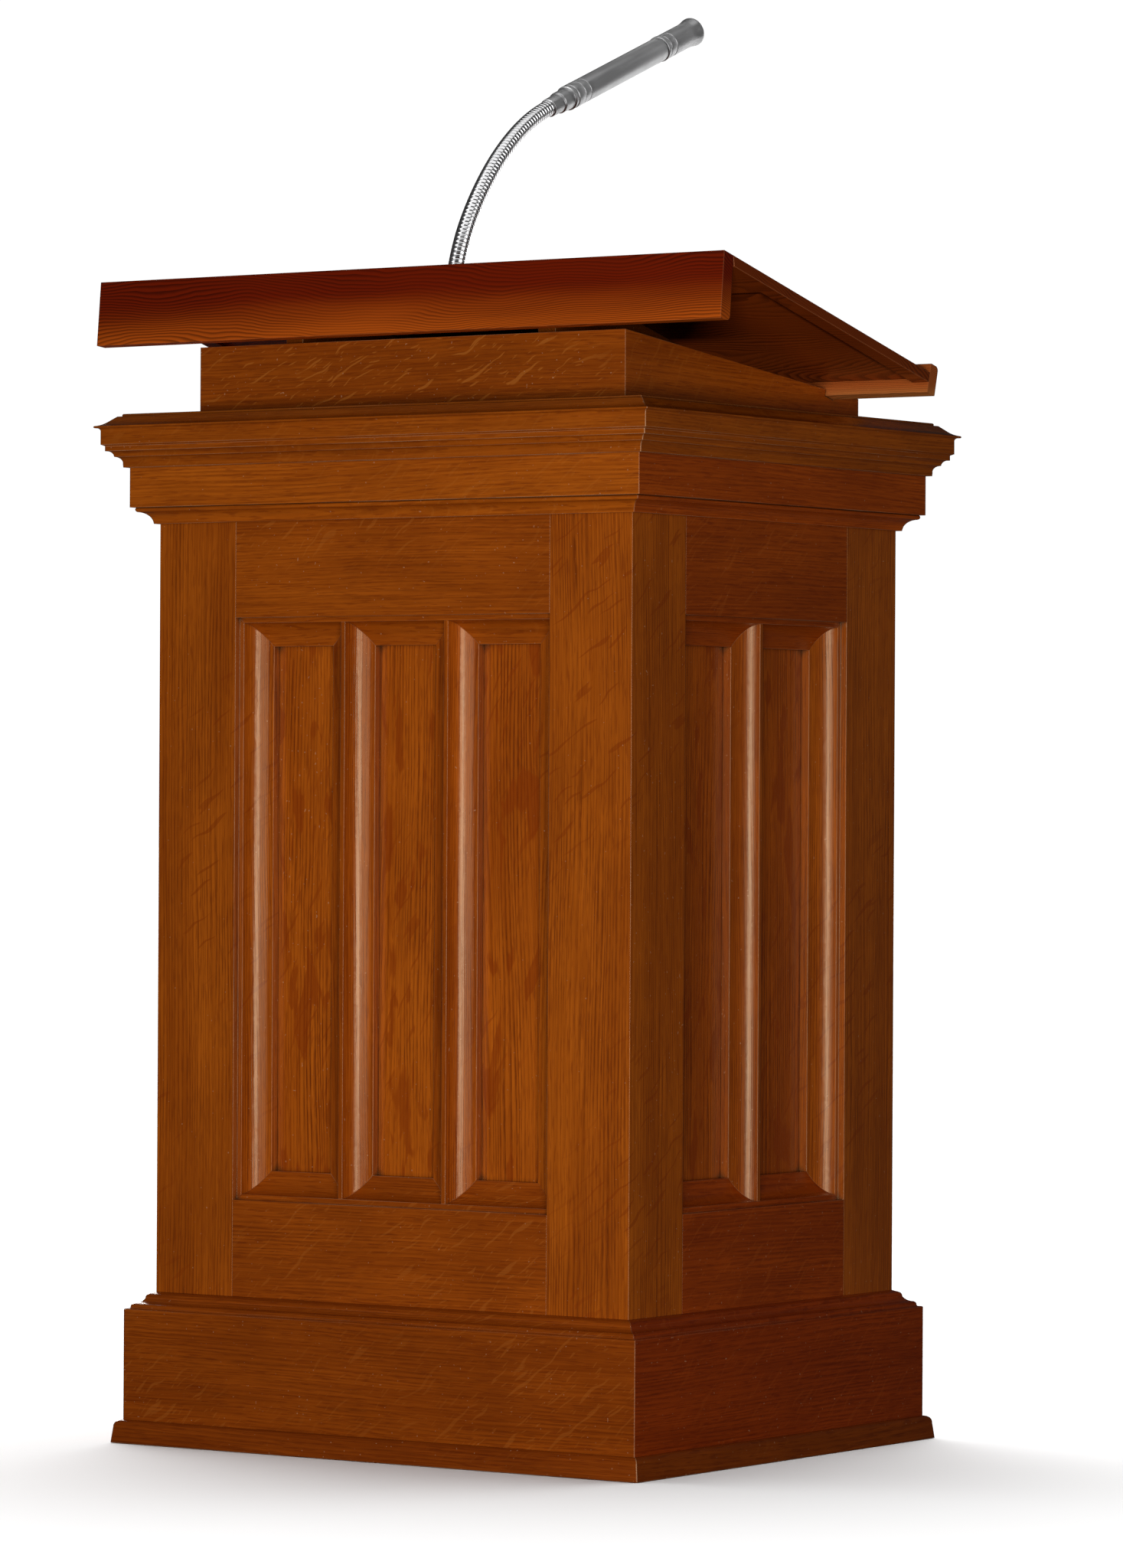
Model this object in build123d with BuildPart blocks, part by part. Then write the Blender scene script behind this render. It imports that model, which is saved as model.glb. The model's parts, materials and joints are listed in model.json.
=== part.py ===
from build123d import *
from math import cos, degrees, radians, sin, tan
import os

# An oak pulpit: framed and panelled body, moulded base and cornice, a riser with a
# sloping desk on it, and a microphone on a flexible neck.
# +Z is up, the congregation's side faces -Y, the speaker stands at +Y.

# ---- body frame -------------------------------------------------------------
BODY_W = 560.0
BODY_D = 472.0
FRAME_T = 45.0
FRAME_TOP = 984.5
FOOT_LIFT = 4.0
FRONT_STILE = 93.7
SIDE_STILE = 91.5
BACK_STILE = 62.0
OPENING_TOP = 811.2
OPENING_BOTTOM = 242.3

# ---- small allowances -------------------------------------------------------
EASE = 0.8
OVERCUT = 1.0

# ---- moulding worked round every opening ------------------------------------
REVEAL = 6.9
FILLET = 5.2
COVE_W = 22.8
COVE_D = 18.9
NOSE = 5.0
PANEL_DEPTH = 35.0
PANEL_T = 7.6
GROOVE = 9.0
GROOVE_T = 8.0
PANEL_PLAY = 1.0
MOULD_W = FILLET + COVE_W
MUNTIN_W = NOSE + 2 * COVE_W

# ---- joints -----------------------------------------------------------------
TENON_L = 38.0
TENON_T = 12.0
TENON_DEPTH = 16.0
TENON_SHOULDER = 22.0
BACK_TENON_L = 16.0
STUB_L = 22.0
MORTISE_PLAY = 1.0
HOUSING = 8.0

# ---- back frame and inside boards -------------------------------------------
BACK_TOP_RAIL = 860.0
BACK_BOTTOM_RAIL = 150.0
BOTTOM_T = 18.0
SHELF_Z = 520.0
SHELF_T = 20.0
SHELF_SETBACK = 10.0
HOUSING_HALF = 14.0
HOUSING_FRONT = 20.0
HOUSING_BACK = 30.0

# ---- base -------------------------------------------------------------------
PLINTH_OUT = 22.7
PLINTH_TOP = 131.6
CAP_TOP = 148.0
SHOE_OUT = 31.6
SHOE_TOP = 22.4
# profiles are (out from the body, up from the height each function names)
PLINTH_CAP = (
    (18.9, 0.0), (18.0, 1.2), (17.5, 3.6), (15.6, 5.0), (10.2, 7.1), (7.6, 10.2), (6.9, 13.0), (4.9, 14.6),
)
SHOE_ROUND = ((29.7, -6.5), (27.9, -1.9), (23.6, 0.0))

# ---- cornice ----------------------------------------------------------------
FRIEZE_OUT = 21.6
FRIEZE_BOTTOM = 920.5
FRIEZE_TOP = 959.7
NECKING_BOTTOM = 904.6
TOP_OUT = 27.2
TOP_Z = 1012.5
LIP_Z = 999.2
TOP_STEP = 2.6
SLOPE_END = 30.6
MITRE_REACH = 60.0
NECKING = ((4.6, 0.0), (4.9, 1.4), (8.6, 8.4), (16.0, 11.4), (17.8, 13.6))
NECKING_BACK = 16.9
BED = (
    (26.3, 0.0), (26.6, 3.4), (28.0, 8.2), (32.6, 10.3), (33.2, 12.4), (35.4, 15.1), (39.2, 15.8),
    (39.2, 20.8), (42.3, 22.2),
)
LIP = ((42.3, -4.6), (43.2, -2.0), (46.2, -1.2), (47.4, 0.0), (46.4, 1.0), (41.2, 2.6), (36.8, 5.6))

# ---- riser ------------------------------------------------------------------
RISER_W = 505.0
RISER_D = 417.0
RISER_T = 18.0
RISER_FRONT_Z = 1079.3
RISER_SLOPE = tan(radians(6.0))
RISER_BACK_RAIL = 43.5

# ---- desk -------------------------------------------------------------------
DESK_W = 740.0
DESK_L = 382.0
DESK_SLOPE = 14.1
DESK_FRONT_Y = -219.0
DESK_FRONT_Z = 1147.7
BOARD_T = 9.5
BOARD_THIN = 5.5
BOARD_RIM = 18.4
BOARD_FRONT_RIM = 96.0
BOARD_LAP = 4.0
APRON_H = 64.0
APRON_T = 16.0
APRON_LEAN = 5.3
APRON_CHAMFER = 3.0
LEDGE_T = 14.0
LEDGE_UP = 9.6
LEDGE_DOWN = 19.6
LEDGE_ROUND = 4.5
NOTCH_PLAY = 0.6
BEARER_T = 20.0
BEARER_X = 150.0
BEARER_END_Y = 140.0
BEARER_PLAY = 0.5

# ---- microphone -------------------------------------------------------------
MIC_FROM_FRONT = 85.6
FLANGE_R = 30.0
FLANGE_T = 4.0
FLANGE_ROUND = 1.4
FERRULE_R = 10.5
FERRULE_H = 22.0
SKIRT_R = 12.5
SKIRT_H = 4.0
TAPER = 20.0
TAIL_R = 5.0
TAIL_PLAY = 0.2
TAIL_L = 18.0
SCREW_CIRCLE = 22.0
SCREW_R = 1.9
SCREW_PLAY = 0.1
SCREW_HEAD_R = 3.8
SCREW_HEAD_H = 2.0
SCREW_L = 11.0
SLOT_L = 6.4
SLOT_W = 0.9
NECK_R = 8.2
NECK_LINK = 61.0
NECK_BENDS = (17.4, 10.5, 12.0, 14.5)
RIB_PITCH = 4.0
RIB_DEPTH = 0.7
RIB_W = 2.2
RIB_BORE = 6.0
BALL_R = 5.0
BALL_PLAY = 0.3
LINK_GAP = 1.8
COLLAR_STEP = 17.4
COLLAR_RADII = (9.6, 10.95, 12.55)
BARREL_R = 12.45
BARREL_L = 160.4
RING_R = 13.3
RING_L = 5.0
CAP_L = 62.0
CAP_R = 12.9
FLARE_R = 14.75
FLARE_L = 12.0
GRILLE_R = 11.6
GRILLE_DEPTH = 5.0
MIC_PIN_R = 4.0
MIC_PIN_L = 10.0
PIN_PLAY = 0.05

HALF_W = BODY_W / 2
HALF_D = BODY_D / 2
FRONT = Location((0, -HALF_D, 0))
BACK = Location((0, HALF_D, 0), (0, 0, 180))
RIGHT = Location((HALF_W, 0, 0), (0, 0, 90))
LEFT = Location((-HALF_W, 0, 0), (0, 0, -90))
SLOPE = radians(DESK_SLOPE)
LEAN = radians(APRON_LEAN)

os.makedirs("parts", exist_ok=True)


def save(shape, label):
    """write one piece under its own name"""
    shape.label = label
    export_step(shape, f"parts/{label}.step")


def upright(outline, start, end):
    """a board whose face outline is (across, up), running from one depth to another"""
    with BuildPart() as board:
        with BuildSketch(Plane.XZ.offset(-start)):
            with BuildLine():
                Polyline(*outline, close=True)
            make_face()
        extrude(amount=start - end)
    return board.part


def block(x0, x1, y0, y1, z0, z1):
    """a plain block between six planes"""
    with BuildPart() as solid:
        with Locations(((x0 + x1) / 2, (y0 + y1) / 2, (z0 + z1) / 2)):
            Box(x1 - x0, y1 - y0, z1 - z0)
    return solid.part


def opening_section(half):
    """section through a moulded opening: cove, wall, panel groove, clear back"""
    cove_end = REVEAL + COVE_D
    groove_end = PANEL_DEPTH + GROOVE_T
    near = REVEAL - OVERCUT
    far = FRAME_T + OVERCUT
    with BuildSketch() as section:
        with BuildLine():
            Polyline((0, near), (half + COVE_W, near), (half + COVE_W, REVEAL))
            EllipticalCenterArc((half, REVEAL), COVE_W, COVE_D, start_angle=0, arc_size=90)
            Polyline(
                (half, cove_end),
                (half, PANEL_DEPTH),
                (half + GROOVE, PANEL_DEPTH),
                (half + GROOVE, groove_end),
                (half, groove_end),
                (half, far),
                (0, far),
            )
            Line((0, far), (0, near))
        make_face()
        mirror(about=Plane.YZ)
    return section.sketch


def opening_cutter(centre, half_w):
    """the hollow of one moulded opening, its corners mitred"""
    middle = (OPENING_TOP + OPENING_BOTTOM) / 2
    half_h = (OPENING_TOP - OPENING_BOTTOM) / 2 - MOULD_W
    reach = MITRE_REACH
    with BuildPart() as cutter:
        with BuildSketch(Plane((centre, 0, middle), x_dir=(1, 0, 0), z_dir=(0, 0, 1))):
            add(opening_section(half_w))
        extrude(amount=half_h + reach, both=True)
        with BuildSketch(Plane((centre, 0, middle), x_dir=(0, 0, 1), z_dir=(-1, 0, 0))):
            add(opening_section(half_h))
        extrude(amount=half_w + reach, both=True, mode=Mode.INTERSECT)
    return cutter.part


class PanelledFace:
    """one framed face of the body, drawn facing -Y with its face plane at y = 0"""

    def __init__(self, half, stile, panels):
        self.half = half
        self.edge = half - stile
        inner = 2 * self.edge - 2 * MOULD_W
        self.sight = (inner - (panels - 1) * MUNTIN_W) / panels
        pitch = self.sight + MUNTIN_W
        self.centres = [(i - (panels - 1) / 2) * pitch for i in range(panels)]
        self.muntins = [(a + b) / 2 for a, b in zip(self.centres, self.centres[1:])]
        with BuildPart() as hollow:
            add(block(-self.edge, self.edge, -OVERCUT, REVEAL, OPENING_BOTTOM, OPENING_TOP))
            for centre in self.centres:
                add(opening_cutter(centre, self.sight / 2))
        self.hollow = hollow.part

    def worked(self, outline, tenons=(), mortises=()):
        """a frame member: outline less the moulded hollow, with its tenons and mortises"""
        with BuildPart() as member:
            add(upright(outline, 0, FRAME_T))
            add(self.hollow, mode=Mode.SUBTRACT)
            for tenon in tenons:
                add(tenon)
            for mortise in mortises:
                add(mortise, mode=Mode.SUBTRACT)
        return member.part

    def tenon_pair(self, z0, z1, play):
        """the tenons at both ends of a rail, or the mortises when given play"""
        end = self.edge + TENON_L + play
        depth = TENON_DEPTH + TENON_T
        right = block(self.edge, end, TENON_DEPTH, depth, z0, z1)
        left = block(-end, -self.edge, TENON_DEPTH, depth, z0, z1)
        return [left, right]

    def stubs(self, play):
        """the stub tenons at both ends of every muntin, or the mortises when given play"""
        pieces = []
        depth = TENON_DEPTH + TENON_T
        half = NOSE / 2
        top = OPENING_TOP - FILLET
        foot = OPENING_BOTTOM + FILLET
        for x in self.muntins:
            pieces.append(block(x - half, x + half, TENON_DEPTH, depth, top, top + STUB_L + play))
            pieces.append(block(x - half, x + half, TENON_DEPTH, depth, foot - STUB_L - play, foot))
        return pieces

    def rail(self, z_edge, z_far):
        """top or bottom rail, scribed round the muntins' ends"""
        up = 1 if z_far > z_edge else -1
        inner = z_edge - up * MOULD_W
        fillet = z_edge - up * FILLET
        outline = [(-self.edge, z_far), (-self.edge, z_edge), (-self.edge + MOULD_W, inner)]
        for x in self.muntins:
            outline += [(x - MUNTIN_W / 2, inner), (x - NOSE / 2, fillet)]
            outline += [(x + NOSE / 2, fillet), (x + MUNTIN_W / 2, inner)]
        outline += [(self.edge - MOULD_W, inner), (self.edge, z_edge), (self.edge, z_far)]
        low = min(z_edge, z_far) + TENON_SHOULDER
        high = max(z_edge, z_far) - TENON_SHOULDER
        tenons = self.tenon_pair(low, high, 0)
        return self.worked(outline, tenons, self.stubs(MORTISE_PLAY))

    def muntin(self, index):
        """a middle upright with a cove down each edge and a stub tenon at each end"""
        x = self.muntins[index]
        top = OPENING_TOP
        foot = OPENING_BOTTOM
        outline = [
            (x - MUNTIN_W / 2, foot + MOULD_W),
            (x - NOSE / 2, foot + FILLET),
            (x + NOSE / 2, foot + FILLET),
            (x + MUNTIN_W / 2, foot + MOULD_W),
            (x + MUNTIN_W / 2, top - MOULD_W),
            (x + NOSE / 2, top - FILLET),
            (x - NOSE / 2, top - FILLET),
            (x - MUNTIN_W / 2, top - MOULD_W),
        ]
        return self.worked(outline, self.stubs(0)[2 * index:2 * index + 2])

    def stile(self, side):
        """the moulded leg at one side of the face (-1 left, 1 right), mortised for the rails"""
        edge = side * self.edge
        inner = side * (self.edge - MOULD_W)
        outline = [
            (side * self.half, FOOT_LIFT),
            (edge, FOOT_LIFT),
            (edge, OPENING_BOTTOM),
            (inner, OPENING_BOTTOM + MOULD_W),
            (inner, OPENING_TOP - MOULD_W),
            (edge, OPENING_TOP),
            (edge, FRAME_TOP),
            (side * self.half, FRAME_TOP),
        ]
        shoulder = TENON_SHOULDER
        mortises = self.tenon_pair(OPENING_TOP + shoulder, FRAME_TOP - shoulder, MORTISE_PLAY)
        mortises += self.tenon_pair(FOOT_LIFT + shoulder, OPENING_BOTTOM - shoulder, MORTISE_PLAY)
        return self.worked(outline, (), mortises)

    def panel(self, index):
        """a flat panel held in the grooves"""
        x = self.centres[index]
        half = self.sight / 2 + GROOVE - PANEL_PLAY
        start = PANEL_DEPTH + (GROOVE_T - PANEL_T) / 2
        low = OPENING_BOTTOM + MOULD_W - GROOVE + PANEL_PLAY
        high = OPENING_TOP - MOULD_W + GROOVE - PANEL_PLAY
        return block(x - half, x + half, start, start + PANEL_T, low, high)


front_face = PanelledFace(HALF_W, FRONT_STILE, 3)
side_face = PanelledFace(HALF_D, SIDE_STILE, 2)

# ---- rails, muntins and panels ----------------------------------------------
save(front_face.rail(OPENING_TOP, FRAME_TOP).moved(FRONT), "front_top_rail")
save(front_face.rail(OPENING_BOTTOM, FOOT_LIFT).moved(FRONT), "front_bottom_rail")
for index, name in enumerate(("left", "right")):
    save(front_face.muntin(index).moved(FRONT), f"front_muntin_{name}")
for index, name in enumerate(("left", "centre", "right")):
    save(front_face.panel(index).moved(FRONT), f"front_panel_{name}")
for side, place, names in (("right", RIGHT, ("front", "back")), ("left", LEFT, ("back", "front"))):
    save(side_face.rail(OPENING_TOP, FRAME_TOP).moved(place), f"{side}_side_top_rail")
    save(side_face.rail(OPENING_BOTTOM, FOOT_LIFT).moved(place), f"{side}_side_bottom_rail")
    save(side_face.muntin(0).moved(place), f"{side}_side_muntin")
    for index, name in enumerate(names):
        save(side_face.panel(index).moved(place), f"{side}_side_panel_{name}")

# ---- back rails -------------------------------------------------------------
back_edge = HALF_W - BACK_STILE
BACK_RAILS = (
    ("back_top_rail", BACK_TOP_RAIL, FRAME_TOP),
    ("back_bottom_rail", FOOT_LIFT, BACK_BOTTOM_RAIL),
)


def back_tenons(low, high, play):
    """tenons of a back rail, or its mortises when given play"""
    end = back_edge + BACK_TENON_L + play
    depth = TENON_DEPTH + TENON_T
    z0 = low + TENON_SHOULDER
    z1 = high - TENON_SHOULDER
    left = block(-end, -back_edge, TENON_DEPTH, depth, z0, z1)
    right = block(back_edge, end, TENON_DEPTH, depth, z0, z1)
    return [left, right]


for name, low, high in BACK_RAILS:
    with BuildPart() as back_rail:
        add(block(-back_edge, back_edge, 0, FRAME_T, low, high))
        for tenon in back_tenons(low, high, 0):
            add(tenon)
    save(back_rail.part.moved(BACK), name)

# ---- shelf and bottom board, housed in the posts ----------------------------
inside_x = HALF_W - FRAME_T
inside_y = HALF_D - FRAME_T
shelf_back = inside_y - SHELF_SETBACK


def shelf_board(z, thick, back, play):
    """a board between the side frames, its ends let into the four posts"""
    low = z - play
    high = z + thick + play
    reach = HOUSING + play
    half = HOUSING_HALF + play
    with BuildPart() as board:
        add(block(-inside_x, inside_x, -inside_y, back, low, high))
        for x in (-inside_x, inside_x):
            for y in (-inside_y + HOUSING_FRONT, inside_y - HOUSING_BACK):
                add(block(x - reach, x + reach, y - half, y + half, low, high))
    return board.part


shelf = shelf_board(SHELF_Z, SHELF_T, shelf_back, 0)
save(shelf, "shelf")
bottom_board = shelf_board(BACK_BOTTOM_RAIL, BOTTOM_T, inside_y, 0)
save(bottom_board, "bottom_board")

# ---- corner posts: two moulded legs in one L section ------------------------
def back_leg(side):
    """the plain leg on the open back, mortised for the back rails"""
    near = min(side * back_edge, side * HALF_W)
    far = max(side * back_edge, side * HALF_W)
    with BuildPart() as leg:
        add(block(near, far, 0, FRAME_T, FOOT_LIFT, FRAME_TOP))
        for name, low, high in BACK_RAILS:
            for mortise in back_tenons(low, high, MORTISE_PLAY):
                add(mortise, mode=Mode.SUBTRACT)
    return leg.part.moved(BACK)


def corner_post(face_leg, side_leg, label):
    """two legs glued at the corner, housed for the shelf and the bottom board"""
    with BuildPart() as post:
        add(face_leg)
        add(side_leg)
        add(shelf, mode=Mode.SUBTRACT)
        add(bottom_board, mode=Mode.SUBTRACT)
    save(post.part, label)


corner_post(front_face.stile(-1).moved(FRONT), side_face.stile(1).moved(LEFT), "front_left_post")
corner_post(front_face.stile(1).moved(FRONT), side_face.stile(-1).moved(RIGHT), "front_right_post")
corner_post(back_leg(1), side_face.stile(-1).moved(LEFT), "back_left_post")
corner_post(back_leg(-1), side_face.stile(1).moved(RIGHT), "back_right_post")


# ---- mouldings that run round the body --------------------------------------
def profile(points, base):
    """points of a moulding's face, outwards being -Y and each height counted from the base"""
    return [(-out, base + up) for out, up in points]


def plinth_section():
    """plinth board with the moulded cap worked on its top edge, the cap counted from PLINTH_TOP"""
    cap = profile(PLINTH_CAP, PLINTH_TOP)
    arris = [(-PLINTH_OUT, PLINTH_TOP - EASE), (-PLINTH_OUT + EASE, PLINTH_TOP)]
    with BuildSketch() as section:
        with BuildLine():
            Polyline((0, FOOT_LIFT), (-PLINTH_OUT, FOOT_LIFT), *arris, cap[0], cap[1])
            ThreePointArc(*cap[1:4])
            ThreePointArc(*cap[3:6])
            ThreePointArc(*cap[5:8])
            Polyline(cap[7], (0, CAP_TOP), (0, FOOT_LIFT))
        make_face()
    return section.sketch


def shoe_section():
    """shoe moulding on the floor, its face leaning and its top rounded, counted from SHOE_TOP"""
    top = profile(SHOE_ROUND, SHOE_TOP)
    with BuildSketch() as section:
        with BuildLine():
            Polyline((-PLINTH_OUT, 0), (-SHOE_OUT, 0), top[0])
            ThreePointArc(*top)
            Polyline(top[2], (-PLINTH_OUT, SHOE_TOP), (-PLINTH_OUT, 0))
        make_face()
    return section.sketch


def frieze_section():
    """frieze board with the necking cove and its bead worked under it, from NECKING_BOTTOM"""
    cove = profile(NECKING, NECKING_BOTTOM)
    bead_end = (-NECKING_BACK, FRIEZE_BOTTOM)
    face = [(-FRIEZE_OUT, FRIEZE_BOTTOM), (-FRIEZE_OUT, FRIEZE_TOP)]
    with BuildSketch() as section:
        with BuildLine():
            Polyline((0, NECKING_BOTTOM), cove[0], cove[1])
            ThreePointArc(*cove[1:4])
            ThreePointArc(cove[3], cove[4], bead_end)
            Polyline(bead_end, *face, (0, FRIEZE_TOP), (0, NECKING_BOTTOM))
        make_face()
    return section.sketch


def cornice_section():
    """bed moulding from FRIEZE_TOP, corona, lip round LIP_Z, and the slope back to the top board"""
    bed = profile(BED, FRIEZE_TOP)
    lip = profile(LIP, LIP_Z)
    back = [(-SLOPE_END, TOP_Z - TOP_STEP), (-TOP_OUT, TOP_Z - TOP_STEP), (-TOP_OUT, FRAME_TOP)]
    with BuildSketch() as section:
        with BuildLine():
            Polyline((0, FRIEZE_TOP), bed[0], bed[1])
            ThreePointArc(*bed[1:4])
            Line(bed[3], bed[4])
            ThreePointArc(*bed[4:7])
            Polyline(*bed[6:], lip[0])
            ThreePointArc(*lip[0:3])
            ThreePointArc(*lip[2:5])
            ThreePointArc(*lip[4:7])
            Polyline(lip[6], *back, (0, FRAME_TOP), (0, FRIEZE_TOP))
        make_face()
    return section.sketch


def mitred_run(section, half):
    """a moulding along one face of the body, cut at 45 degrees at both ends"""
    far = half + MITRE_REACH
    with BuildPart() as run:
        with BuildSketch(Plane.YZ):
            add(section())
        extrude(amount=far, both=True)
        with BuildSketch(Plane.XY.offset(-OVERCUT)):
            with BuildLine():
                Polyline((-half, 0), (-far, -MITRE_REACH), (far, -MITRE_REACH), (half, 0), close=True)
            make_face()
        extrude(amount=TOP_Z + 2 * OVERCUT, mode=Mode.INTERSECT)
    return run.part


RUNS = (
    ("shoe_moulding", shoe_section),
    ("plinth_board", plinth_section),
    ("frieze_board", frieze_section),
    ("cornice_moulding", cornice_section),
)
SIDES = (("front", FRONT, HALF_W), ("back", BACK, HALF_W), ("left", LEFT, HALF_D), ("right", RIGHT, HALF_D))
for name, section in RUNS:
    for side, place, half in SIDES:
        save(mitred_run(section, half).moved(place), f"{name}_{side}")

# ---- top board --------------------------------------------------------------
with BuildPart() as top_board:
    with BuildSketch(Plane.XY.offset(FRAME_TOP)):
        Rectangle(BODY_W + 2 * TOP_OUT, BODY_D + 2 * TOP_OUT)
    extrude(amount=TOP_Z - FRAME_TOP)
    chamfer(top_board.edges().group_by(Axis.Z)[-1], EASE)
save(top_board.part, "top_board")

# ---- desk geometry ----------------------------------------------------------
down = (cos(SLOPE), -sin(SLOPE))
normal = (sin(SLOPE), cos(SLOPE))


def on_desk(along, above):
    """(y, z) of a point along the desk's slope from its front edge and above its top"""
    y = DESK_FRONT_Y + along * down[0] + above * normal[0]
    z = DESK_FRONT_Z + along * down[1] + above * normal[1]
    return (y, z)


def desk_plane(along, above=0.0):
    """a plane lying parallel to the desk's top"""
    y, z = on_desk(along, above)
    return Plane((0, y, z), x_dir=(1, 0, 0), z_dir=(0, normal[0], normal[1]))


def lengthwise(outline, width):
    """a board of the given width in X whose end outline is (y, z)"""
    with BuildPart() as board:
        with BuildSketch(Plane.YZ):
            with BuildLine():
                Polyline(*outline, close=True)
            make_face()
        extrude(amount=width / 2, both=True)
    return board.part


# ---- ledge that stops the book, let down past the board's lower end ---------
ledge_outline = [
    on_desk(DESK_L, -LEDGE_DOWN),
    on_desk(DESK_L, LEDGE_UP),
    on_desk(DESK_L + LEDGE_T, LEDGE_UP),
    on_desk(DESK_L + LEDGE_T, -LEDGE_DOWN),
]
with BuildPart() as ledge:
    add(lengthwise(ledge_outline, DESK_W))
    long_edges = ledge.edges().filter_by(Axis.X)
    fillet(long_edges.sort_by(Axis.Z)[-2:].sort_by(Axis.Y)[-1], LEDGE_ROUND)
    chamfer(ledge.edges().filter_by(Axis.X).sort_by(Axis.Z)[-1], EASE)
save(ledge.part, "book_ledge")

# ---- apron across the front of the desk -------------------------------------
apron_top = (DESK_FRONT_Y, DESK_FRONT_Z)
apron_foot = (DESK_FRONT_Y - APRON_H * sin(LEAN), DESK_FRONT_Z - APRON_H * cos(LEAN))
apron_back_foot = (apron_foot[0] + APRON_T * cos(LEAN), apron_foot[1] - APRON_T * sin(LEAN))
desk_fall = (apron_back_foot[0] - DESK_FRONT_Y) * tan(SLOPE)
apron_back_h = (DESK_FRONT_Z - apron_back_foot[1] - desk_fall) / (cos(LEAN) + sin(LEAN) * tan(SLOPE))
apron_back_top = (
    apron_back_foot[0] + apron_back_h * sin(LEAN),
    apron_back_foot[1] + apron_back_h * cos(LEAN),
)
apron_outline = [apron_top, apron_foot, apron_back_foot, apron_back_top]
with BuildPart() as apron:
    add(lengthwise(apron_outline, DESK_W))
    chamfer(apron.edges().filter_by(Axis.X).sort_by(Axis.Z)[0], APRON_CHAMFER)
save(apron.part, "desk_apron")

# ---- screws, flange and ferrule of the microphone ---------------------------
mic_top = desk_plane(MIC_FROM_FRONT)
screw_plane = desk_plane(MIC_FROM_FRONT, FLANGE_T)


def screws(play):
    """three flange screws, or their holes when given play"""
    with BuildPart() as set_of_three:
        with BuildSketch(screw_plane):
            with PolarLocations(SCREW_CIRCLE, 3, start_angle=90):
                Circle(SCREW_R + play)
        extrude(amount=-SCREW_L)
        if not play:
            with BuildSketch(screw_plane):
                with PolarLocations(SCREW_CIRCLE, 3, start_angle=90):
                    Circle(SCREW_HEAD_R)
            extrude(amount=SCREW_HEAD_H, taper=TAPER)
            with BuildSketch(screw_plane.offset(SCREW_HEAD_H)):
                with PolarLocations(SCREW_CIRCLE, 3, start_angle=90):
                    Rectangle(SLOT_L, SLOT_W)
            extrude(amount=-SLOT_W, mode=Mode.SUBTRACT)
    return set_of_three.part


save(screws(0), "microphone_flange_screws")
screw_holes = screws(SCREW_PLAY)

with BuildPart() as flange:
    with BuildSketch(mic_top):
        Circle(FLANGE_R)
    extrude(amount=FLANGE_T)
    fillet(flange.faces().sort_by(Axis.Z)[-1].edges(), FLANGE_ROUND)
    with BuildSketch(screw_plane):
        Circle(SKIRT_R)
    extrude(amount=SKIRT_H, taper=TAPER)
    with BuildSketch(screw_plane):
        Circle(FERRULE_R)
    extrude(amount=FERRULE_H - FLANGE_T - LINK_GAP)
    with BuildSketch(mic_top):
        Circle(TAIL_R)
    extrude(amount=-TAIL_L)
    with Locations(desk_plane(MIC_FROM_FRONT, FERRULE_H).location):
        Sphere(BALL_R)
    add(screw_holes, mode=Mode.SUBTRACT)
save(flange.part, "microphone_flange")

# ---- sloping board, thinner inside its rim ----------------------------------
board_outline = [
    apron_back_top,
    on_desk(DESK_L, 0),
    on_desk(DESK_L, -BOARD_T),
    on_desk(APRON_T + BOARD_LAP, -BOARD_T),
]
relief_outline = [
    on_desk(BOARD_FRONT_RIM, -BOARD_THIN),
    on_desk(DESK_L + OVERCUT, -BOARD_THIN),
    on_desk(DESK_L + OVERCUT, -BOARD_T - OVERCUT),
    on_desk(BOARD_FRONT_RIM, -BOARD_T - OVERCUT),
]
with BuildPart() as desk_board:
    add(lengthwise(board_outline, DESK_W))
    add(lengthwise(relief_outline, DESK_W - 2 * BOARD_RIM), mode=Mode.SUBTRACT)
    add(apron.part, mode=Mode.SUBTRACT)
    with BuildSketch(mic_top):
        Circle(TAIL_R + TAIL_PLAY)
    extrude(amount=-2 * BOARD_T, mode=Mode.SUBTRACT)
    add(screw_holes, mode=Mode.SUBTRACT)
save(desk_board.part, "desk_board")

# ---- riser ------------------------------------------------------------------
riser_half_w = RISER_W / 2
riser_half_d = RISER_D / 2


def riser_top(y):
    """height of the riser's sloping top edge at a given y"""
    return RISER_FRONT_Z - (y + riser_half_d) * RISER_SLOPE


with BuildPart() as ledge_notch:
    notch_outline = [
        on_desk(DESK_L - NOTCH_PLAY, -LEDGE_DOWN - NOTCH_PLAY),
        on_desk(DESK_L - NOTCH_PLAY, LEDGE_UP),
        on_desk(DESK_L + LEDGE_T + NOTCH_PLAY, LEDGE_UP),
        on_desk(DESK_L + LEDGE_T + NOTCH_PLAY, -LEDGE_DOWN - NOTCH_PLAY),
    ]
    add(lengthwise(notch_outline, DESK_W))

side_outline = [
    (-riser_half_d, TOP_Z),
    (-riser_half_d, riser_top(-riser_half_d)),
    (riser_half_d, riser_top(riser_half_d)),
    (riser_half_d, TOP_Z),
]
with BuildPart() as riser_mitre:
    with BuildSketch(Plane.XY.offset(TOP_Z)):
        with BuildLine():
            inner = riser_half_w - RISER_T
            Polyline(
                (-riser_half_w, -riser_half_d),
                (riser_half_w, -riser_half_d),
                (inner, -riser_half_d + RISER_T),
                (-inner, -riser_half_d + RISER_T),
                close=True,
            )
        make_face()
    extrude(amount=RISER_FRONT_Z - TOP_Z + OVERCUT)

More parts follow.
